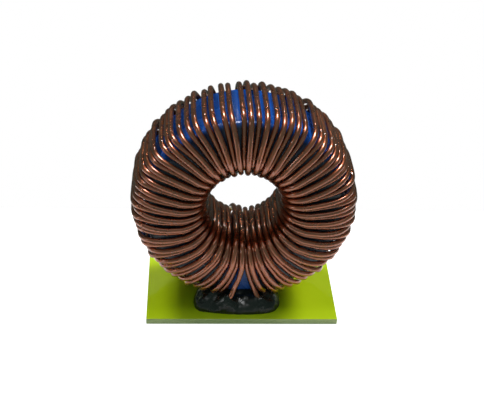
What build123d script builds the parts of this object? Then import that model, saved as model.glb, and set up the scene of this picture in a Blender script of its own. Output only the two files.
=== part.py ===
import os
from math import copysign, cos, exp, floor, pi, radians, sin

from build123d import *

# Toroidal inductor: a coated powder ring stands on edge on a laminate plate, one enamelled wire is
# wound round it by hand, and a mound of black compound holds ring, wire and plate together.
# Millimetres. The origin is at the middle of the plate's underside, +Z up, the ring's axis along Y,
# and -Y is the side where the wire's first end runs down. Clock angles are 0 at the top of the ring.

# Ring core, its coating included
core_outer_d = 46.7
core_inner_d = 24.1
core_height = 17.6
core_edge_flat = 1.0

# Wire and winding
wire_d = 1.28
turns = 80
wire_sides = 6
face_slack = 0.46
outside_bow = 1.67
bore_slack = 1.01
face_layer_rise = 1.0
bore_layer_rise = 1.4
crown_radius = 16.3
fan_start_radius = 16.0
fan_end_radius = 24.0
first_turn_deg = -172.5
last_turn_deg = 169.8
bottom_looseness = 0.5
top_looseness = 0.25
top_crowding_deg = 2.0
pitch_wobble_deg = 0.25
bow_wobble = 0.25
side_bow = 0.3
bore_wobble = 0.15

# Extra spacing, in degrees, after the turns where the blue ring shows between the wires
wide_gaps = {
    14: 2.0, 28: 1.8, 32: 1.8, 34: 1.6, 36: 1.3, 38: 1.8,
    42: 1.4, 47: 2.4, 51: 1.0, 56: 1.2, 57: 2.6, 70: 1.6,
}

# Turns that stand up from the others in the bore
loose_bore_turns = {0: 0.7, 2: 1.0}

# How square each loop is: upper turns ride in the grooves of the lower ones and bend more gently
upper_outside_squareness = 3.4
upper_bore_squareness = 3.8
lower_outside_squareness = 4.6
lower_bore_squareness = 4.2

# Bends of one turn, in degrees round the loop: 0 outside, 90 front, 180 in the bore, 270 rear
turn_stations = (0, 38, 62, 90, 118, 142, 180, 218, 242, 270, 298, 322)

# Plate, and the hole in it for each end of the wire
plate_width = 46.0
plate_depth = 31.0
plate_thickness = 1.5
lead_hole_d = 1.5
first_lead = (-4.3, -11.9)
last_lead = (2.6, 11.9)
lead_bend_height = 1.9
lead_flare = 3.0
lead_flare_deg = 45
lead_flare_spread = 20

# Compound
mound_left = 11.6
mound_right = 9.5
mound_front = 13.8
mound_rear = 13.5
mound_levels = ((0, 1), (0.45, 0.985), (0.8, 0.93), (1, 0.84))
core_immersion = 0.45

# Clearances
plate_clearance = 0.05
fit_clearance = 0.03

# Worked out from the values above
core_outer_r = core_outer_d / 2
core_inner_r = core_inner_d / 2
wire_r = wire_d / 2
outside_r = core_outer_r + outside_bow + wire_r
lower_bore_r = core_inner_r - bore_slack - wire_r
upper_bore_r = lower_bore_r - bore_layer_rise
lower_face_y = core_height / 2 + face_slack + wire_r
upper_face_y = lower_face_y + face_layer_rise
lowest_reach = (outside_r + bow_wobble + wire_r) * cos(radians(180 + first_turn_deg))
core_z = plate_thickness + plate_clearance + lowest_reach
mound_height = core_z - core_outer_r + core_immersion - plate_thickness
lead_start = turn_stations[2] / 360
lead_end = turns - 1 + turn_stations[-2] / 360


def outside_angles():
    # Clock angle of each turn where it crosses the outside, and of one more that would follow
    share = []
    for i in range(1, turns):
        low = 0.5 + 0.5 * cos(2 * pi * i / turns)
        share.append(1 + bottom_looseness * low**2 + top_looseness * (1 - low) ** 4)
    open_deg = last_turn_deg - first_turn_deg - sum(wide_gaps.values())
    angle = first_turn_deg
    angles = [angle]
    for i in range(turns - 1):
        angle += open_deg * share[i] / sum(share) + wide_gaps.get(i, 0)
        angles.append(angle + pitch_wobble_deg * sin(2.6 * (i + 1)))
    angles.append(2 * angles[-1] - angles[-2])
    return angles


crossings = outside_angles()


def outside_angle(t):
    i = floor(t)
    return crossings[i] + (crossings[i + 1] - crossings[i]) * (t - i)


def bore_angle(t):
    # The bore is full, so the wires share it almost evenly
    even = 360 * (t - turns / 2) / turns
    return even - top_crowding_deg * sin(radians(even))


def power(value, exponent):
    return copysign(abs(value) ** exponent, value)


def outside_reach(t):
    # How far the wire stands out of the crown where it passes the outside
    passing = floor(t + 0.5)
    bow = bow_wobble * sin(4.1 * passing) + side_bow * sin(2 * pi * passing / turns) ** 2
    return outside_r + bow - crown_radius


def bore_reach(turn, upper):
    # How far the wire stands into the bore from the crown
    bore_r = upper_bore_r if upper else lower_bore_r
    return crown_radius - bore_r - bore_wobble * sin(1.7 * turn) + loose_bore_turns.get(turn, 0)


def wire_point(t):
    # A point on the wire's centre line after t turns; whole numbers are the crossings outside
    turn = floor(t)
    upper = turn % 2 == 0
    out = cos(2 * pi * t)
    front = sin(2 * pi * t)
    if out > 0:
        squareness = upper_outside_squareness if upper else lower_outside_squareness
        reach = outside_reach(t)
    else:
        squareness = upper_bore_squareness if upper else lower_bore_squareness
        reach = bore_reach(turn, upper)
    r = crown_radius + reach * power(out, 2 / squareness)
    y = -(upper_face_y if upper else lower_face_y) * power(front, 2 / squareness)
    if turn in (0, turns - 1):
        y -= lead_flare * exp(-(((360 * (t - turn) - lead_flare_deg) / lead_flare_spread) ** 2))
    fan = min(max((r - fan_start_radius) / (fan_end_radius - fan_start_radius), 0), 1)
    angle = radians((1 - fan) * bore_angle(t) + fan * outside_angle(t))
    return (r * sin(angle), y, core_z + r * cos(angle))


def wire_points(start, end):
    # The bends of the wire from one turn count to another
    bends = [turn + station / 360 for turn in range(turns) for station in turn_stations]
    return [wire_point(t) for t in bends if start - 1e-6 <= t <= end + 1e-6]


def lead_points(place):
    # One end of the wire, from flush with the plate's underside to its bend in the compound
    return [(*place, 0), (*place, plate_thickness + lead_bend_height)]


first_end = lead_points(first_lead)
last_end = lead_points(last_lead)[::-1]
ring_axis = Axis((0, 0, core_z), (0, 1, 0))
ring_middle = (core_outer_r + core_inner_r) / 2
ring_width = core_outer_r - core_inner_r

# Ring core, its rounded edges as flats
with BuildPart() as core:
    with BuildSketch(Plane.XY.offset(core_z)) as ring_section:
        with Locations((ring_middle, 0)):
            Rectangle(ring_width, core_height)
        chamfer(ring_section.vertices(), core_edge_flat)
    revolve(axis=ring_axis)

# Winding: one wire, its bends mitred
with BuildPart() as winding:
    with BuildLine() as wire_route:
        Polyline(*first_end, *wire_points(lead_start, lead_end), *last_end)
    with BuildSketch(Plane(origin=wire_route.line @ 0, z_dir=wire_route.line % 0)):
        RegularPolygon(wire_r, wire_sides)
    sweep(transition=Transition.RIGHT)

# Base plate, sawn from laminate
with BuildPart() as base_plate:
    with BuildSketch():
        Rectangle(plate_width, plate_depth)
        with Locations(first_lead, last_lead):
            Circle(lead_hole_d / 2, mode=Mode.SUBTRACT)
    extrude(amount=plate_thickness)

# Compound: an uneven mound that has run under the ring and round the lowest wires.
# Its foot as shares of its reach to each side, from the left corner round by the front
mound_marks = [
    (-1, -0.54), (-0.99, -0.75), (-0.91, -0.885), (-0.73, -0.935), (-0.37, -0.98),
    (0.06, -1), (0.49, -0.98), (0.77, -0.93), (0.92, -0.82), (1, -0.62),
    (0.96, -0.22), (0.94, 0.3), (0.96, 0.7), (0.77, 0.91), (0.27, 0.99),
    (-0.35, 1), (-0.74, 0.89), (-0.87, 0.65), (-0.85, 0.15), (-0.9, -0.22),
]
mound_foot = [
    (x * (mound_right if x > 0 else mound_left), y * (mound_rear if y > 0 else mound_front))
    for x, y in mound_marks
]

buried_turns = [
    turn for turn in range(1, turns)
    if abs(wire_point(turn)[0]) < max(mound_left, mound_right) + wire_r and wire_point(turn)[2] < core_z
]
buried_routes = [wire_points(turn - 0.25, turn + 0.25) for turn in buried_turns]
buried_routes.append(first_end + wire_points(lead_start, lead_start + 0.1))
buried_routes.append(wire_points(lead_end - 0.1, lead_end) + last_end)

with BuildPart() as potting:
    for rise, share in mound_levels:
        with BuildSketch(Plane.XY.offset(plate_thickness + rise * mound_height)):
            with BuildLine():
                Polyline(*[(x * share, y * share) for x, y in mound_foot], close=True)
            make_face()
    loft(ruled=True)
    with BuildSketch(Plane.XY.offset(core_z)) as ring_groove:
        with Locations((ring_middle, 0)):
            Rectangle(ring_width + 2 * fit_clearance, core_height + 2 * fit_clearance)
        chamfer(ring_groove.vertices(), core_edge_flat)
    revolve(axis=ring_axis, mode=Mode.SUBTRACT)
    for route in buried_routes:
        with BuildLine() as buried_route:
            Polyline(*route)
        with BuildSketch(Plane(origin=buried_route.line @ 0, z_dir=buried_route.line % 0)):
            RegularPolygon(wire_r + fit_clearance, wire_sides, major_radius=False)
        sweep(path=buried_route.wire(), transition=Transition.RIGHT, mode=Mode.SUBTRACT)

# One file for each piece
os.makedirs("parts", exist_ok=True)
for piece, name in (
    (core, "core"),
    (winding, "winding"),
    (base_plate, "base_plate"),
    (potting, "potting"),
):
    piece.part.label = name
    export_step(piece.part, f"parts/{name}.step")
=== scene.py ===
import math

import bmesh
import bpy
from mathutils import Matrix, Vector, noise
from mathutils.kdtree import KDTree


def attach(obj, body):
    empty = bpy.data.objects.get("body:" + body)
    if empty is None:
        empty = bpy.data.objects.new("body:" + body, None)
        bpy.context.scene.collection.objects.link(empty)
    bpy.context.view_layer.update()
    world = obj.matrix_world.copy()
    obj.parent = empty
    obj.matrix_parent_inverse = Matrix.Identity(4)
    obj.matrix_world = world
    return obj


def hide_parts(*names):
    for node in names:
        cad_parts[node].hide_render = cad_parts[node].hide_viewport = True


mm = 0.001  # the dictionaries hold millimetres and degrees, but metres for the lamps and the studio

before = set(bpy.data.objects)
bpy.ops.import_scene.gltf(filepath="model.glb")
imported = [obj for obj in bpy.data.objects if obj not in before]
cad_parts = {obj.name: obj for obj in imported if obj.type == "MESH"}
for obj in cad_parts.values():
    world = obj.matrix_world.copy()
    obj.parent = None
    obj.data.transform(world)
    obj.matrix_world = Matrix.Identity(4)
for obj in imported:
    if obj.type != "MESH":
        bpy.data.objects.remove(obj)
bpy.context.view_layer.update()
print("frame loaded:", ", ".join(sorted(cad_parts)))


class Value:
    # one output of a node: arithmetic on it adds Math nodes
    def __init__(self, graph, made, socket):
        self.graph = graph
        self.made = made
        self.socket = socket

    def output(self, key):
        return Value(self.graph, self.made, findSocket(self.made.outputs, key))

    def maths(self, operation, *others):
        inputs = dict(enumerate((self, *others)))
        return self.graph.node("ShaderNodeMath", {"operation": operation}, inputs)

    def reflected(self, operation, other):
        return self.graph.node("ShaderNodeMath", {"operation": operation}, {0: other, 1: self})

    def __add__(self, other):
        return self.maths("ADD", other)

    def __radd__(self, other):
        return self.reflected("ADD", other)

    def __sub__(self, other):
        return self.maths("SUBTRACT", other)

    def __rsub__(self, other):
        return self.reflected("SUBTRACT", other)

    def __mul__(self, other):
        return self.maths("MULTIPLY", other)

    def __rmul__(self, other):
        return self.reflected("MULTIPLY", other)

    def __truediv__(self, other):
        return self.maths("DIVIDE", other)

    def __rtruediv__(self, other):
        return self.reflected("DIVIDE", other)

    def __pow__(self, other):
        return self.maths("POWER", other)

    def __rpow__(self, other):
        return self.reflected("POWER", other)


def findSocket(sockets, key):
    if isinstance(key, int):
        return sockets[key]
    return next(socket for socket in sockets if key in (socket.identifier, socket.name))


def opaque(colour):
    # a plain colour with its alpha; a link stays as it is
    return (*colour, 1) if isinstance(colour, tuple) else colour


class Graph:
    # the nodes of one material, world or geometry tree
    def __init__(self, tree):
        self.tree = tree

    def node(self, kind, settings=None, inputs=None, output=0):
        made = self.tree.nodes.new(kind)
        for name, value in (settings or {}).items():
            setattr(made, name, value)
        self.feed(made, inputs or {})
        socket = findSocket(made.outputs, output) if len(made.outputs) else None
        return Value(self, made, socket)

    def feed(self, made, inputs):
        # a plain value is set on the node's own socket, anything else is linked
        for key, value in inputs.items():
            socket = findSocket(made.inputs, key)
            if isinstance(value, Value):
                self.tree.links.new(value.socket, socket)
            else:
                socket.default_value = value

    def mixColour(self, factor, first, second):
        inputs = {"Factor_Float": factor, "A_Color": opaque(first), "B_Color": opaque(second)}
        return self.node("ShaderNodeMix", {"data_type": "RGBA"}, inputs, "Result_Color")

    def noiseAt(self, place, scale, detail, roughness):
        inputs = {"Vector": place, "Scale": scale, "Detail": detail, "Roughness": roughness}
        return self.node("ShaderNodeTexNoise", None, inputs)

    def easedRange(self, value, source, target=(0.0, 1.0)):
        # from the source range to the target range, with soft ends
        inputs = {"Value": value, "From Min": source[0], "From Max": source[1]}
        inputs.update({"To Min": target[0], "To Max": target[1]})
        return self.node("ShaderNodeMapRange", {"interpolation_type": "SMOOTHSTEP"}, inputs)

    def bump(self, height, strength, depth):
        inputs = {"Strength": strength, "Distance": depth * mm, "Height": height}
        return self.node("ShaderNodeBump", None, inputs)

    def objectPlace(self):
        return self.node("ShaderNodeTexCoord").output("Object")


def newMaterial(name):
    material = bpy.data.materials.new(name)
    material.use_nodes = True
    material.node_tree.nodes.clear()
    graph = Graph(material.node_tree)
    shader = graph.node("ShaderNodeBsdfPrincipled")
    graph.node("ShaderNodeOutputMaterial", None, {"Surface": shader})
    return material, graph, shader.made


def addObject(name, data):
    made = bpy.data.objects.new(name, data)
    bpy.context.scene.collection.objects.link(made)
    return made


def meshPiece(name, vertices, faces, smooth=True):
    mesh = bpy.data.meshes.new(name)
    mesh.from_pydata(vertices, [], faces)
    work = bmesh.new()
    work.from_mesh(mesh)
    bmesh.ops.recalc_face_normals(work, faces=work.faces)
    work.to_mesh(mesh)
    work.free()
    mesh.shade_smooth() if smooth else mesh.shade_flat()
    return addObject(name, mesh)


def finishPiece(piece, node, material=None):
    # the winding already has the material that its tree sets
    if material:
        piece.data.materials.clear()
        piece.data.materials.append(material)
    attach(piece, "root")
    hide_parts(node)


# One wire, 80 times round the ring. The inputs are those of its tree. Even turns ride on the odd
# ones in the bore. The squareness is that of each loop, and frontTightness adds to it outside, in
# front and high up. A noise is scale, detail and roughness, a bump is strength and depth.
coil = {
    "inputs": {
        "turns": 80,
        "wireRadius": 0.64,
        "axisHeight": 27.873,
        "outsideRadius": 25.66,
        "crownRadius": 16.3,
        "lowerBoreRadius": 10.4,
        "boreLayerRise": 1.4,
        "lowerFaceY": 9.9,
        "faceLayerRise": 1.0,
        "upperOutsideSquareness": 3.4,
        "lowerOutsideSquareness": 4.6,
        "frontTightness": 0.30,
        "upperBoreSquareness": 3.1,
        "lowerBoreSquareness": 3.6,
        "fanStart": 16.0,  # from here to fanEnd the turns fan out to their places outside
        "fanEnd": 24.0,
        "topCrowding": 2.0,  # degrees by which the bore's even spacing closes up at the top
        "bowWobble": 0.25,
        "sideBow": 0.3,
        "boreWobble": 0.15,
        "flare": 3.0,  # how far the first and the last turn lean out before they run down
        "flareDeg": 45.0,
        "flareSpread": 20.0,
    },
    "firstDeg": -172.5,
    "lastDeg": 169.8,
    "bottomLooseness": 0.5,
    "topLooseness": 0.25,
    "wobbleDeg": 0.25,
    "wobbleStep": 2.6,  # this and the next two are radians from turn to turn
    "bowStep": 4.1,
    "boreStep": 1.7,
    "wideGaps": {  # extra degrees after these turns, where the blue ring shows
        14: 2.0, 28: 1.8, 32: 1.8, 34: 1.6, 36: 1.3, 38: 1.8,
        42: 1.4, 47: 2.4, 51: 1.0, 56: 1.2, 57: 2.6, 70: 1.6,
    },
    "looseInBore": {0: 0.7, 2: 1.0},  # how far these turns stand up from the others
    "firstTurn": 62 / 360,  # where the turns start and end; below them the leads run down
    "lastTurn": 79 + 298 / 360,
    "pointsPerTurn": 56,
    "sides": 16,
    "firstLead": (-4.3, -11.9),
    "lastLead": (2.6, 11.9),
    "leadPoints": 14,
    "leadRise": 3.2,
    "leadPull": 0.8,
    "deep": (0.35, 0.085, 0.027),  # the copper as it looks through the enamel
    "warm": (0.46, 0.114, 0.038),
    "toneRange": (0.25, 0.75),
    "lineTone": 0.25,
    "patchTone": 0.45,
    "turnTone": 0.3,
    "metallic": 0.92,
    "roughness": (0.25, 0.33),
    "coat": 1.0,  # the clear enamel
    "coatRoughness": 0.05,
    "coatIor": 1.80,
    "sheen": 0.05,
    "sheenRoughness": 0.6,
    "sheenTint": (1.0, 0.80, 0.55),
    "drawnLines": (1.6, 3.0, 0.6),
    "linesAcross": 2.2,
    "linesAlong": 9.0,
    "patches": (260.0, 3.0, 0.55),
    "patchRange": (0.35, 0.65),
    "ripple": (190.0, 1.0, 0.4),
    "rippleBump": (0.05, 0.02),
}
axisHeight = coil["inputs"]["axisHeight"]


def enamelMaterial():
    material, graph, shader = newMaterial("enamelledWire")
    section = graph.node("ShaderNodeAttribute", {"attribute_name": "section"}).output("Vector")
    along = graph.node("ShaderNodeAttribute", {"attribute_name": "wireRun"}).output("Fac")
    parts = graph.node("ShaderNodeSeparateXYZ", None, {0: section})
    lineInputs = {
        0: parts.output("X") * coil["linesAcross"],
        1: parts.output("Y") * coil["linesAcross"],
        2: along * coil["linesAlong"],
    }
    linePlace = graph.node("ShaderNodeCombineXYZ", None, lineInputs)
    drawnLines = graph.noiseAt(linePlace, *coil["drawnLines"])
    place = graph.objectPlace()
    patches = graph.noiseAt(place, *coil["patches"])
    whichTurn = {"W": along.maths("FLOOR")}
    perTurn = graph.node("ShaderNodeTexWhiteNoise", {"noise_dimensions": "1D"}, whichTurn)
    tone = drawnLines * coil["lineTone"] + patches * coil["patchTone"]
    tone = graph.easedRange(tone + perTurn * coil["turnTone"], coil["toneRange"])
    graph.feed(shader, {
        "Base Color": graph.mixColour(tone, coil["deep"], coil["warm"]),
        "Metallic": coil["metallic"],
        "Roughness": graph.easedRange(patches, coil["patchRange"], coil["roughness"]),
        "Normal": graph.bump(graph.noiseAt(place, *coil["ripple"]), *coil["rippleBump"]),
        "Coat Weight": coil["coat"],
        "Coat Roughness": coil["coatRoughness"],
        "Coat IOR": coil["coatIor"],
        "Sheen Weight": coil["sheen"],
        "Sheen Roughness": coil["sheenRoughness"],
        "Sheen Tint": opaque(coil["sheenTint"]),
    })
    return material


def outsideAngles():
    # clock angle of each turn where it crosses the outside, 0 at the top, and of one more turn
    turns = coil["inputs"]["turns"]
    share = []
    for i in range(1, turns):
        low = 0.5 + 0.5 * math.cos(2 * math.pi * i / turns)
        bottom = coil["bottomLooseness"] * low ** 2
        share.append(1 + bottom + coil["topLooseness"] * (1 - low) ** 4)
    span = coil["lastDeg"] - coil["firstDeg"]
    openDeg = span - sum(coil["wideGaps"].values())
    angle = coil["firstDeg"]
    angles = [angle]
    for i in range(turns - 1):
        angle += openDeg * share[i] / sum(share) + coil["wideGaps"].get(i, 0)
        wobble = coil["wobbleDeg"] * math.sin(coil["wobbleStep"] * (i + 1))
        angles.append(angle + wobble)
    angles.append(2 * angles[-1] - angles[-2])
    return angles


def turnMark(graph, source, name, turn):
    # the value that the marks carry for one turn
    mark = graph.node("GeometryNodeInputNamedAttribute", {"data_type": "FLOAT"}, {"Name": name})
    inputs = {"Geometry": source.output("Geometry"), "Value": mark, "Index": turn}
    return graph.node("GeometryNodeSampleIndex", {"data_type": "FLOAT"}, inputs)


def leadCurve(graph, line, place, number, neighbour):
    # from flush with the plate's underside up to the wire's first or last point, along its run
    spots = []
    for index in (number, neighbour):
        spot = {"Geometry": line, "Value": graph.node("GeometryNodeInputPosition"), "Index": index}
        sampled = graph.node("GeometryNodeSampleIndex", {"data_type": "FLOAT_VECTOR"}, spot)
        spots.append(sampled)
    back = graph.node("ShaderNodeVectorMath", {"operation": "SUBTRACT"}, {0: spots[0], 1: spots[1]})
    handleInputs = {0: back, 1: (coil["leadPull"],) * 3, 2: spots[0]}
    handle = graph.node("ShaderNodeVectorMath", {"operation": "MULTIPLY_ADD"}, handleInputs)
    foot = Vector((*place, 0)) * mm
    return graph.node("GeometryNodeCurvePrimitiveBezierSegment", None, {
        "Resolution": coil["leadPoints"],
        "Start": foot,
        "Start Handle": foot + Vector((0, 0, coil["leadRise"] * mm)),
        "End Handle": handle,
        "End": spots[0],
    })


def wirePlace(graph, source, size, run):
    # the wire's middle after that many turns; whole numbers are the crossings outside
    turn = run.maths("FLOOR")
    lower = turn.maths("MODULO", 2.0)
    upper = 1.0 - lower
    cosine = (run * (2 * math.pi)).maths("COSINE")
    sine = (run * (2 * math.pi)).maths("SINE")
    outside = cosine.maths("GREATER_THAN", 0.0)
    inside = 1.0 - outside

    outSquare = size["lowerOutsideSquareness"] * lower + size["upperOutsideSquareness"] * upper
    boreSquare = size["lowerBoreSquareness"] * lower + size["upperBoreSquareness"] * upper
    even = (run - size["turns"] / 2.0) / size["turns"] * (2 * math.pi)
    highUp = even.maths("COSINE") * 0.5 + 0.5
    tighter = 1.0 + size["frontTightness"] * highUp * sine.maths("GREATER_THAN", 0.0)
    bend = 2.0 / (outSquare * tighter * outside + boreSquare * inside)

    passing = (run + 0.5).maths("FLOOR")
    sideways = (passing * (2 * math.pi) / size["turns"]).maths("SINE")
    bow = size["bowWobble"] * (passing * coil["bowStep"]).maths("SINE")
    bow = bow + size["sideBow"] * sideways * sideways
    outReach = size["outsideRadius"] + bow - size["crownRadius"]
    boreRadius = size["lowerBoreRadius"] - size["boreLayerRise"] * upper
    wobble = size["boreWobble"] * (turn * coil["boreStep"]).maths("SINE")
    boreReach = size["crownRadius"] - boreRadius - wobble + turnMark(graph, source, "loose", turn)
    reach = outReach * outside + boreReach * inside
    radius = size["crownRadius"] + reach * cosine.maths("SIGN") * cosine.maths("ABSOLUTE") ** bend

    faceY = size["lowerFaceY"] + size["faceLayerRise"] * upper
    isEnd = turn.maths("COMPARE", 0.0, 0.5) + turn.maths("COMPARE", size["turns"] - 1.0, 0.5)
    fromFlare = ((run - turn) * 360.0 - size["flareDeg"]) / size["flareSpread"]
    flare = isEnd * size["flare"] * (0.0 - fromFlare * fromFlare).maths("EXPONENT")
    depth = 0.0 - faceY * sine.maths("SIGN") * sine.maths("ABSOLUTE") ** bend - flare

    crossing = turnMark(graph, source, "crossing", turn)
    following = turnMark(graph, source, "crossing", turn + 1.0)
    outAngle = crossing + (following - crossing) * (run - turn)
    boreAngle = even - size["topCrowding"] * math.radians(1) * even.maths("SINE")
    fan = (radius - size["fanStart"]) / (size["fanEnd"] - size["fanStart"])
    fan = fan.maths("MAXIMUM", 0.0).maths("MINIMUM", 1.0)
    angle = boreAngle * (1.0 - fan) + outAngle * fan
    return graph.node("ShaderNodeCombineXYZ", None, {
        "X": radius * angle.maths("SINE") * mm,
        "Y": depth * mm,
        "Z": (size["axisHeight"] + radius * angle.maths("COSINE")) * mm,
    })


def coilTree(material):
    tree = bpy.data.node_groups.new("windingTree", "GeometryNodeTree")
    graph = Graph(tree)
    tree.interface.new_socket(name="Geometry", in_out="INPUT", socket_type="NodeSocketGeometry")
    identifiers = {}
    for name, value in coil["inputs"].items():
        kind = "NodeSocketInt" if name == "turns" else "NodeSocketFloat"
        made = tree.interface.new_socket(name=name, in_out="INPUT", socket_type=kind)
        made.default_value = value
        identifiers[name] = made.identifier
    tree.interface.new_socket(name="Geometry", in_out="OUTPUT", socket_type="NodeSocketGeometry")
    source = graph.node("NodeGroupInput")
    size = {name: source.output(name) for name in coil["inputs"]}

    length = coil["lastTurn"] - coil["firstTurn"]
    points = round(length * coil["pointsPerTurn"]) + 1
    step = length / (points - 1)
    run = graph.node("GeometryNodeInputIndex") * step + coil["firstTurn"]
    place = wirePlace(graph, source, size, run)

    line = graph.node("GeometryNodeMeshLine", None, {"Count": points})
    line = graph.node("GeometryNodeSetPosition", None, {"Geometry": line, "Position": place})
    ends = [
        leadCurve(graph, line, coil["firstLead"], 0, 1),
        leadCurve(graph, line, coil["lastLead"], points - 1, points - 2),
    ]
    runName = {"Geometry": line, "Name": "wireRun", "Value": run}
    line = graph.node("GeometryNodeStoreNamedAttribute", {"data_type": "FLOAT"}, runName)
    route = graph.node("GeometryNodeMeshToCurve", None, {"Mesh": line})
    joined = graph.node("GeometryNodeJoinGeometry")
    for curve in (route, *ends):
        tree.links.new(curve.socket, joined.made.inputs[0])
    profile = graph.node("GeometryNodeCurvePrimitiveCircle", None, {
        "Resolution": coil["sides"],
        "Radius": size["wireRadius"] * mm,
    })
    across = graph.node("ShaderNodeVectorMath", {"operation": "SCALE"}, {
        0: graph.node("GeometryNodeInputPosition"),
        "Scale": 1 / (coil["inputs"]["wireRadius"] * mm),
    })
    sectionName = {"Geometry": profile, "Name": "section", "Value": across}
    vectorMark = {"data_type": "FLOAT_VECTOR"}
    profile = graph.node("GeometryNodeStoreNamedAttribute", vectorMark, sectionName)
    tube = {"Curve": joined, "Profile Curve": profile, "Fill Caps": True}
    tube = graph.node("GeometryNodeCurveToMesh", None, tube)
    tube = graph.node("GeometryNodeSetShadeSmooth", None, {"Geometry": tube})
    tube = graph.node("GeometryNodeRealizeInstances", None, {"Geometry": tube})
    tube = graph.node("GeometryNodeSetMaterial", None, {"Geometry": tube, "Material": material})
    graph.node("NodeGroupOutput", None, {"Geometry": tube})
    return tree, identifiers


def evaluated(piece, name):
    # the modifier's result as a plain mesh at the origin
    depsgraph = bpy.context.evaluated_depsgraph_get()
    mesh = bpy.data.meshes.new_from_object(piece.evaluated_get(depsgraph))
    mesh.name = name
    made = addObject(name, mesh)
    bpy.data.objects.remove(piece)
    return made


def buildWinding():
    # one point for each turn carries what differs from turn to turn
    angles = outsideAngles()
    loose = [coil["looseInBore"].get(i, 0) for i in range(len(angles))]
    mesh = bpy.data.meshes.new("turnMarks")
    mesh.from_pydata([(0, 0, i * mm) for i in range(len(angles))], [], [])
    for name, values in (("crossing", [math.radians(angle) for angle in angles]), ("loose", loose)):
        mesh.attributes.new(name, "FLOAT", "POINT").data.foreach_set("value", values)
    carrier = addObject("turnMarks", mesh)
    tree, identifiers = coilTree(enamelMaterial())
    modifier = carrier.modifiers.new("winding", "NODES")
    modifier.node_group = tree
    for name, value in coil["inputs"].items():
        modifier[identifiers[name]] = value
    return evaluated(carrier, "woundWire")


woundWire = buildWinding()
print("winding:", len(woundWire.data.polygons), "faces")


# The blue shows its own colour on the rim, along the front and rear edges from some height above
# the axis, and in part within openHalf of the middle under the bore. Elsewhere a painted shade
# colour stands in for the shade between and under the wires, the lower sides included.
ring = {
    "outerRadius": 23.35,
    "innerRadius": 12.05,
    "height": 17.6,
    "edgeRadius": 1.4,
    "edgeSteps": 8,
    "segments": 220,
    "blue": (0.008, 0.095, 0.50),
    "paleBlue": (0.012, 0.135, 0.66),
    # painted shade: the colour that stands in for the shade between and under the wires
    "paintedShade": (0.040, 0.048, 0.075),
    "rimDepth": 0.02,
    "edgeDepth": 1.6,
    "edgeOver": 1.3,
    "unshadedFrom": 9.0,
    "unshadedOver": 6.0,
    "openHalf": 3.2,
    "openOver": 0.8,
    "openUnshaded": 0.7,
    "cloud": (120.0, 4.0, 0.6),
    "cloudTone": 0.6,
    "cloudRange": (0.3, 0.7),
    "grain": (2600.0, 2.0, 0.6),
    "grainTone": 0.4,
    "toneRange": (0.38, 0.62),
    "peel": (1400.0, 2.0, 0.5),
    "peelBump": (0.35, 0.05),
    "roughness": (0.18, 0.30),
    "specular": 0.7,
}


def coatingMaterial():
    material, graph, shader = newMaterial("blueCoating")
    place = graph.objectPlace()
    cloud = graph.noiseAt(place, *ring["cloud"])
    grain = graph.noiseAt(place, *ring["grain"])
    tone = cloud * ring["cloudTone"] + grain * ring["grainTone"]
    tone = graph.easedRange(tone, ring["toneRange"])
    ownBlue = graph.mixColour(tone, ring["blue"], ring["paleBlue"])
    # where the wires shade the ring, the blue gives way to the painted shade colour
    unshaded = graph.node("ShaderNodeAttribute", {"attribute_name": "unshaded"}).output("Fac")
    graph.feed(shader, {
        "Base Color": graph.mixColour(unshaded, ring["paintedShade"], ownBlue),
        "Roughness": graph.easedRange(cloud, ring["cloudRange"], ring["roughness"]),
        "Specular IOR Level": ring["specular"],
        "Normal": graph.bump(graph.noiseAt(place, *ring["peel"]), *ring["peelBump"]),
    })
    return material


def ringSection():
    # the ring's section as radius and depth: four corners, each a quarter of a circle
    middle = (ring["outerRadius"] + ring["innerRadius"]) / 2
    reachX = (ring["outerRadius"] - ring["innerRadius"]) / 2 - ring["edgeRadius"]
    reachY = ring["height"] / 2 - ring["edgeRadius"]
    corners = ((reachX, reachY), (-reachX, reachY), (-reachX, -reachY), (reachX, -reachY))
    section = []
    for quarter, (x, y) in enumerate(corners):
        for step in range(ring["edgeSteps"] + 1):
            angle = math.radians(90 * (quarter + step / ring["edgeSteps"]))
            across = middle + x + ring["edgeRadius"] * math.cos(angle)
            section.append((across, y + ring["edgeRadius"] * math.sin(angle)))
    return section


def buildRing():
    section = ringSection()
    vertices = []
    faces = []
    count = len(section)
    for spoke in range(ring["segments"]):
        turn = 2 * math.pi * spoke / ring["segments"]
        following = (spoke + 1) % ring["segments"]
        for corner, (across, y) in enumerate(section):
            height = axisHeight + across * math.cos(turn)
            vertices.append((across * math.sin(turn) * mm, y * mm, height * mm))
            nextCorner = (corner + 1) % count
            faces.append((
                spoke * count + corner,
                following * count + corner,
                following * count + nextCorner,
                spoke * count + nextCorner,
            ))
    piece = meshPiece("coatedRing", vertices, faces)
    # each corner's share of the ring's own blue; the rest is painted shade
    unshaded = piece.data.attributes.new("unshaded", "FLOAT", "POINT")
    unshaded.data.foreach_set("value", [unshadedShare(vertex.co / mm) for vertex in piece.data.vertices])
    return piece


def ramped(value, over):
    return min(max(value / over, 0), 1)


def unshadedShare(place):
    # 1 where the blue shows its own colour and 0 where the painted shade colour stands in for the
    # wires' shade
    rise = place.z - axisHeight
    radius = math.hypot(place.x, rise)
    edge = ramped(radius - ring["outerRadius"] + ring["edgeDepth"], ring["edgeOver"])
    # only high up: lower down the sides the ring gets the painted shade, as less light falls there
    edge *= ramped(rise - ring["unshadedFrom"], ring["unshadedOver"])
    rim = 1 if radius > ring["outerRadius"] - ring["rimDepth"] else 0
    underBore = place.z < axisHeight - ring["innerRadius"]
    openPart = ring["openUnshaded"] * ramped(ring["openHalf"] - abs(place.x), ring["openOver"])
    return max(edge, rim, openPart if underBore else 0)


coatedRing = buildRing()
finishPiece(coatedRing, "core", coatingMaterial())
print("ring:", len(coatedRing.data.polygons), "faces")


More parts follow.
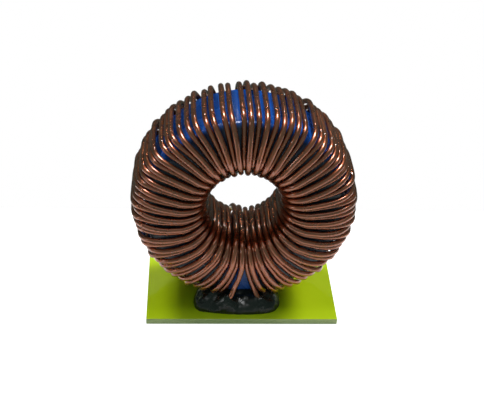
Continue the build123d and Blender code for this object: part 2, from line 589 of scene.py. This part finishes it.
# Glass cloth shows faintly in the faces; the sawn edges show its layers, pale fray and dark specks.
plate = {
    "width": 46.0,
    "depth": 31.0,
    "arris": 0.09,
    "arrisSteps": 2,
    "doubles": 0.002,  # corners of loose triangles closer than this are one
    "nearOutline": 0.01,
    "flatAngle": 0.01,  # this and the next in radians
    "sharpAngle": 0.5,
    "lime": (0.50, 0.68, 0.003),
    "paleLime": (0.56, 0.75, 0.010),
    "edge": (0.56, 0.66, 0.26),
    "paleEdge": (0.72, 0.80, 0.42),
    "speck": (0.05, 0.06, 0.03),
    "clothPitch": 0.55,
    "clothTone": 0.10,
    "clothSway": 3.0,
    "sway": (90.0, 2.0, 0.5),
    "cloud": (75.0, 4.0, 0.6),
    "toneRange": (0.30, 0.70),
    "layerPitch": 0.18,
    "layerTone": 0.28,
    "layerSway": 1.5,
    "layerNoise": (700.0, 2.0, 0.5),
    "fray": (2200.0, 3.0, 0.7),
    "edgeRange": (0.25, 0.85),
    "specks": (620.0, 2.0, 0.6),
    "speckRange": (0.70, 0.76),
    "speckShare": 0.8,
    "faceRange": (0.3, 0.9),
    "faceRoughness": 0.40,
    "edgeRoughness": 0.62,
    "cloudRoughness": 0.2,
    "specular": 0.25,
    "bump": (0.3, 0.05),
    "clothHeight": 0.25,
    "layerHeight": 0.4,
    "frayHeight": 1.2,
    "cloudHeight": 0.6,
}


def laminateMaterial():
    material, graph, shader = newMaterial("laminate")
    place = graph.objectPlace()
    parts = graph.node("ShaderNodeSeparateXYZ", None, {0: place})
    x, y, z = parts.output("X"), parts.output("Y"), parts.output("Z")

    pitch = 2 * math.pi / (plate["clothPitch"] * mm)
    sway = graph.noiseAt(place, *plate["sway"]) * plate["clothSway"]
    weave = (x * pitch + sway).maths("SINE") * (y * pitch + sway).maths("SINE")
    cloud = graph.noiseAt(place, *plate["cloud"])
    tone = graph.easedRange(weave * plate["clothTone"] + cloud, plate["toneRange"])
    face = graph.mixColour(tone, plate["lime"], plate["paleLime"])

    layerSway = graph.noiseAt(place, *plate["layerNoise"]) * plate["layerSway"]
    layers = (z * (2 * math.pi / (plate["layerPitch"] * mm)) + layerSway).maths("SINE")
    fray = graph.noiseAt(place, *plate["fray"])
    edgeTone = graph.easedRange(layers * plate["layerTone"] + fray, plate["edgeRange"])
    edge = graph.mixColour(edgeTone, plate["edge"], plate["paleEdge"])
    specks = graph.easedRange(graph.noiseAt(place, *plate["specks"]), plate["speckRange"])
    edge = graph.mixColour(specks * plate["speckShare"], edge, plate["speck"])

    normal = graph.node("ShaderNodeNewGeometry").output("Normal")
    upright = graph.node("ShaderNodeSeparateXYZ", None, {0: normal}).output("Z").maths("ABSOLUTE")
    isFace = graph.easedRange(upright, plate["faceRange"])
    sawn = (layers * plate["layerHeight"] + fray * plate["frayHeight"]) * (1.0 - isFace)
    height = weave * plate["clothHeight"] * isFace + sawn + cloud * plate["cloudHeight"]
    smoother = plate["faceRoughness"] - plate["edgeRoughness"]
    rough = isFace * smoother + plate["edgeRoughness"] + (cloud - 0.5) * plate["cloudRoughness"]
    graph.feed(shader, {
        "Base Color": graph.mixColour(isFace, edge, face),
        "Roughness": rough,
        "Specular IOR Level": plate["specular"],
        "Normal": graph.bump(height, *plate["bump"]),
    })
    return material


def onOutline(edge):
    half = Vector((plate["width"] / 2, plate["depth"] / 2)) * mm
    middle = (edge.verts[0].co + edge.verts[1].co) / 2
    near = plate["nearOutline"] * mm
    return abs(middle.x) > half.x - near or abs(middle.y) > half.y - near


def buildPlate():
    # a copy of the CAD plate with its doubles merged and its outer sawn corners broken
    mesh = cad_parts["base_plate"].data.copy()
    mesh.name = "laminatePlate"
    mesh.materials.clear()
    work = bmesh.new()
    work.from_mesh(mesh)
    bmesh.ops.remove_doubles(work, verts=work.verts, dist=plate["doubles"] * mm)
    flat = plate["flatAngle"]
    bmesh.ops.dissolve_limit(work, angle_limit=flat, verts=work.verts, edges=work.edges)
    edges = [edge for edge in work.edges if onOutline(edge)]
    sharp = [edge for edge in edges if edge.calc_face_angle(0) > plate["sharpAngle"]]
    arris, steps = plate["arris"] * mm, plate["arrisSteps"]
    bmesh.ops.bevel(work, geom=sharp, offset=arris, segments=steps, profile=0.5, affect="EDGES")
    bmesh.ops.triangulate(work, faces=work.faces)
    bmesh.ops.recalc_face_normals(work, faces=work.faces)
    work.to_mesh(mesh)
    work.free()
    mesh.shade_flat()
    return addObject("laminatePlate", mesh)


laminatePlate = buildPlate()
finishPiece(laminatePlate, "base_plate", laminateMaterial())
print("plate:", len(laminatePlate.data.polygons), "faces")


# A poured mound: its reach to each side, its bottom and top above the table, and as x, y and height
# the entries, where strands go in and the compound has crept up them.
mound = {
    "left": 11.6,
    "right": 9.5,
    "front": 13.8,
    "rear": 13.5,
    "bottom": 1.5,
    "top": 4.97,
    "rings": 40,  # from the foot to the middle, closer together near the foot
    "ringPower": 1.8,
    "perPoint": 9,
    "flatShare": 0.50,  # of the way out before the side falls away, give or take flatChange
    "flatChange": 0.3,
    "flatNoise": 0.21,
    "rimPower": 2.1,
    "unevenness": 0.07,
    "lumps": [(0.75, 210), (0.30, 480)],  # height and noise scale of the swells
    "climb": 0.75,  # how far it creeps up a strand, and how near it has to be
    "climbReach": 0.8,
    "ringClimb": 0.6,  # the ring's share of that
    "wireFrom": 3.5,  # strands count between these heights
    "wireTo": 6.5,
    "entries": [(-4.1, -12.6, 3.0), (4.15, -11.9, 0.3)],
    "entryReach": 2.1,
    "black": (0.006, 0.008, 0.007),
    "greenish": (0.014, 0.020, 0.015),
    "dust": (0.20, 0.19, 0.16),
    "cloud": (240.0, 3.0, 0.6),
    "cloudRange": (0.35, 0.7),
    "dustNoise": (3200.0, 2.0, 0.7),
    "dustRange": (0.66, 0.74),
    "dustShare": 0.25,
    "dustRoughness": 0.3,
    "roughness": (0.20, 0.36),
    "swell": (330.0, 2.0, 0.5),
    "swellBump": (1.0, 0.7),
}


def compoundMaterial():
    material, graph, shader = newMaterial("blackCompound")
    place = graph.objectPlace()
    cloud = graph.noiseAt(place, *mound["cloud"])
    dust = graph.easedRange(graph.noiseAt(place, *mound["dustNoise"]), mound["dustRange"])
    colour = graph.mixColour(cloud, mound["black"], mound["greenish"])
    rough = graph.easedRange(cloud, mound["cloudRange"], mound["roughness"])
    graph.feed(shader, {
        "Base Color": graph.mixColour(dust * mound["dustShare"], colour, mound["dust"]),
        "Roughness": rough + dust * mound["dustRoughness"],
        "Normal": graph.bump(graph.noiseAt(place, *mound["swell"]), *mound["swellBump"]),
    })
    return material


def moundOutline():
    # the foot as shares of its reach to each side, from the left corner round by the front
    shares = [
        (-1, -0.54), (-0.99, -0.75), (-0.91, -0.885), (-0.73, -0.935), (-0.37, -0.98),
        (0.06, -1), (0.49, -0.98), (0.77, -0.93), (0.92, -0.82), (1, -0.62),
        (0.96, -0.22), (0.94, 0.3), (0.96, 0.7), (0.77, 0.91), (0.27, 0.99),
        (-0.35, 1), (-0.74, 0.89), (-0.87, 0.65), (-0.85, 0.15), (-0.9, -0.22),
    ]
    marks = []
    for x, y in shares:
        across = mound["right"] if x > 0 else mound["left"]
        marks.append((x * across, y * (mound["rear"] if y > 0 else mound["front"])))
    outline = []
    count = len(marks)
    for i in range(count):  # a smooth curve through all the marks
        before, start, end, after = (Vector(marks[(i + k) % count]) for k in (-1, 0, 1, 2))
        for step in range(mound["perPoint"]):
            t = step / mound["perPoint"]
            bend = (2 * before - 5 * start + 4 * end - after) * t * t
            twist = (3 * start - before - 3 * end + after) * t * t * t
            outline.append((2 * start + (end - before) * t + bend + twist) / 2)
    return outline


def lump(place):
    # slow swells of the poured compound, in millimetres
    return sum(height * noise.noise(place * scale) for height, scale in mound["lumps"])


def climbing(tree, place):
    # how far the compound has crept up the wires and the ring nearby, in millimetres
    away = tree.find(place)[2] / mm
    rise = mound["climb"] * math.exp(-((away / mound["climbReach"]) ** 2))
    gap = max(abs(place.y / mm) - ring["height"] / 2, 0)
    ringRise = mound["ringClimb"] * mound["climb"] * math.exp(-((gap / mound["climbReach"]) ** 2))
    rise = max(rise, ringRise)
    for x, y, height in mound["entries"]:
        near = math.hypot(place.x / mm - x, place.y / mm - y) / mound["entryReach"]
        rise = max(rise, height * math.exp(-near * near))
    return rise


def moundPoint(tree, mark, out):
    # out is the share of the way from the mound's middle to a mark on its foot
    flat = noise.noise(Vector((mark.x, mark.y, 3)) * mound["flatNoise"])
    flat = mound["flatShare"] + mound["flatChange"] * flat
    rim = max(out - flat, 0) / (1 - flat)
    rise = (1 - rim ** mound["rimPower"]) ** 0.5
    z = mound["bottom"] + (mound["top"] - mound["bottom"]) * rise
    swell = lump(Vector((mark.x * out, mark.y * out, z)) * mm)
    x, y = mark * out * (1 + mound["unevenness"] * swell * rise)
    z += swell * rise
    z += climbing(tree, Vector((x, y, z)) * mm) * rise ** 0.5
    return (x * mm, y * mm, z * mm)


def buildMound():
    low, high = mound["wireFrom"] * mm, mound["wireTo"] * mm
    nearWire = [v.co.copy() for v in woundWire.data.vertices if low < v.co.z < high]
    tree = KDTree(len(nearWire))
    for i, place in enumerate(nearWire):
        tree.insert(place, i)
    tree.balance()
    outline = moundOutline()
    count = len(outline)
    levels = [(k / mound["rings"]) ** mound["ringPower"] for k in range(mound["rings"])]
    vertices = [moundPoint(tree, mark, 1 - level) for level in levels for mark in outline]
    vertices.append((0, 0, mound["top"] * mm))
    tip = len(vertices) - 1
    faces = []
    for k in range(len(levels) - 1):
        here, above = k * count, (k + 1) * count
        for i in range(count):
            following = (i + 1) % count
            faces.append((here + i, here + following, above + following, above + i))
    last = (len(levels) - 1) * count
    faces += [(last + i, last + (i + 1) % count, tip) for i in range(count)]
    faces.append(tuple(reversed(range(count))))
    return meshPiece("compoundMound", vertices, faces)


compoundMound = buildMound()
finishPiece(compoundMound, "potting", compoundMaterial())
finishPiece(woundWire, "winding")
print("compound:", len(compoundMound.data.polygons), "faces")


# Fitted to the plate's corners and the coil's outline. The camera looks at a point above the middle
# of the plate's front edge.
view = {
    "focalPixels": 1036.6,
    "imageWidth": 484,
    "sensorWidth": 36,
    "nearest": 10.0,
    "pitchDeg": 32.29,
    "rollDeg": 2.40,
    "yawDeg": 3.68,
    "distance": 231.66,
    "lookX": -1.196,
    "lookZ": 34.04,
    "frontY": -15.5,
}


def addCamera():
    data = bpy.data.cameras.new("photoCamera")
    data.sensor_fit = "HORIZONTAL"
    data.sensor_width = view["sensorWidth"]
    data.lens = view["focalPixels"] * view["sensorWidth"] / view["imageWidth"]
    data.clip_start = view["nearest"] * mm
    camera = addObject("photoCamera", data)
    pitch, roll, yaw = (math.radians(view[name]) for name in ("pitchDeg", "rollDeg", "yawDeg"))
    turnBack = Matrix.Rotation(-yaw, 3, "Z")
    right = turnBack @ Vector((1, 0, 0))
    up = turnBack @ Vector((0, math.sin(pitch), math.cos(pitch)))
    back = turnBack @ Vector((0, -math.cos(pitch), math.sin(pitch)))
    tiltedRight = right * math.cos(roll) + up * math.sin(roll)
    tiltedUp = up * math.cos(roll) - right * math.sin(roll)
    look = turnBack @ Vector((view["lookX"], 0, view["lookZ"])) + Vector((0, view["frontY"], 0))
    place = (look + back * view["distance"]) * mm
    camera.matrix_world = Matrix((
        (tiltedRight.x, tiltedUp.x, back.x, place.x),
        (tiltedRight.y, tiltedUp.y, back.y, place.y),
        (tiltedRight.z, tiltedUp.z, back.z, place.z),
        (0, 0, 0, 1),
    ))
    bpy.context.scene.camera = camera


# Lamps aim at the origin. The level is the share of plain brightness that a lamp alone would give a
# level surface. Diffuse lamps light the colours; glossy ones are only seen mirrored in the coats.
lights = {
    "right": {
        "azimuthDeg": 31, "elevationDeg": 46, "distance": 0.9, "size": 0.30,
        "level": 0.50, "reaches": "diffuse",
    },
    "left": {
        "azimuthDeg": 136, "elevationDeg": 55, "distance": 0.9, "size": 0.26,
        "level": 0.35, "reaches": "diffuse",
    },
    "top": {
        "azimuthDeg": 90, "elevationDeg": 86, "distance": 0.8, "size": 0.26,
        "level": 0.24, "reaches": "diffuse",
    },
    "mirroredTop": {
        "azimuthDeg": 90, "elevationDeg": 84, "distance": 0.8, "size": 0.34,
        "level": 0.72, "reaches": "glossy",
    },
    "mirroredHalo": {
        "azimuthDeg": 90, "elevationDeg": 86, "distance": 0.8, "size": 0.85,
        "level": 0.22, "reaches": "glossy",
    },
    "mirroredLeft": {
        "azimuthDeg": -163, "elevationDeg": 20, "distance": 0.9, "size": 0.13,
        "level": 0.012, "reaches": "glossy",
    },
    "mirroredRear": {
        "azimuthDeg": 90, "elevationDeg": 42, "distance": 0.9, "size": 0.05,
        "level": 0.03, "reaches": "glossy",
    },
}


def addLight(name, settings):
    azimuth, elevation = (math.radians(settings[key]) for key in ("azimuthDeg", "elevationDeg"))
    flat = settings["distance"] * math.cos(elevation)
    height = settings["distance"] * math.sin(elevation)
    place = Vector((flat * math.cos(azimuth), flat * math.sin(azimuth), height))
    data = bpy.data.lights.new(name, "AREA")
    data.shape = "DISK"
    data.size = settings["size"]
    data.energy = math.pi ** 2 * settings["level"] * settings["distance"] ** 2 / math.sin(elevation)
    lamp = addObject(name, data)
    lamp.visible_glossy = settings["reaches"] == "glossy"
    lamp.visible_diffuse = settings["reaches"] == "diffuse"
    aim = (-place).to_track_quat("-Z", "Y").to_matrix().to_4x4()
    lamp.matrix_world = Matrix.Translation(place) @ aim


# The sheet under the part is short, because the strands' fronts mirror what lies before them
studio = {
    "roomGlow": 0.13,
    "frontShare": 0.65,
    "roomColour": (0.80, 1.12, 1.0),
    "white": (1.0, 1.0, 1.0),
    "sheetFront": -0.064,
    "sheetRear": 0.035,
    "sheetSide": 0.15,
    "paper": (0.74, 0.74, 0.74),
    "paleShade": (0.77, 0.77, 0.77),
    "mottle": (30.0, 3.0, 0.5),
    "paperRoughness": 0.9,
    "unlit": (0.0, 0.0, 0.0),
    "lift": (0.85, 0.85, 0.85),
    "glossyShare": 0.10,  # of the lift, as the strands mirror it
}


def addWorld():
    # a dim room, brighter in front of the part, and white where the camera sees it
    world = bpy.data.worlds.new("studio")
    world.use_nodes = True
    world.node_tree.nodes.clear()
    graph = Graph(world.node_tree)
    seen = graph.node("ShaderNodeLightPath").output("Is Camera Ray")
    toRear = graph.node("ShaderNodeSeparateXYZ", None, {0: graph.objectPlace()}).output("Y")
    glow = (1.0 - toRear * studio["frontShare"]) * studio["roomGlow"]
    strength = seen * (1.0 - glow) + glow
    colour = graph.mixColour(seen, studio["roomColour"], studio["white"])
    background = graph.node("ShaderNodeBackground", None, {"Color": colour, "Strength": strength})
    graph.node("ShaderNodeOutputWorld", None, {"Surface": background})
    bpy.context.scene.world = world


def addFloor():
    # pale paper; the lift makes it white where the camera sees it
    side, front, rear = studio["sheetSide"], studio["sheetFront"], studio["sheetRear"]
    corners = [(-side, front, 0), (side, front, 0), (side, rear, 0), (-side, rear, 0)]
    floor = meshPiece("floor", corners, [(0, 1, 2, 3)], smooth=False)
    material, graph, shader = newMaterial("paleFloor")
    mottled = graph.noiseAt(graph.objectPlace(), *studio["mottle"])
    path = graph.node("ShaderNodeLightPath")
    seen = path.output("Is Camera Ray") + path.output("Is Glossy Ray") * studio["glossyShare"]
    graph.feed(shader, {
        "Base Color": graph.mixColour(mottled, studio["paper"], studio["paleShade"]),
        "Roughness": studio["paperRoughness"],
        "Emission Color": graph.mixColour(seen, studio["unlit"], studio["lift"]),
        "Emission Strength": 1.0,
    })
    floor.data.materials.append(material)


addCamera()
for lightName, lightSettings in lights.items():
    addLight(lightName, lightSettings)
addWorld()
addFloor()
bpy.context.scene.view_settings.view_transform = "Standard"
print("camera, floor and light placed")
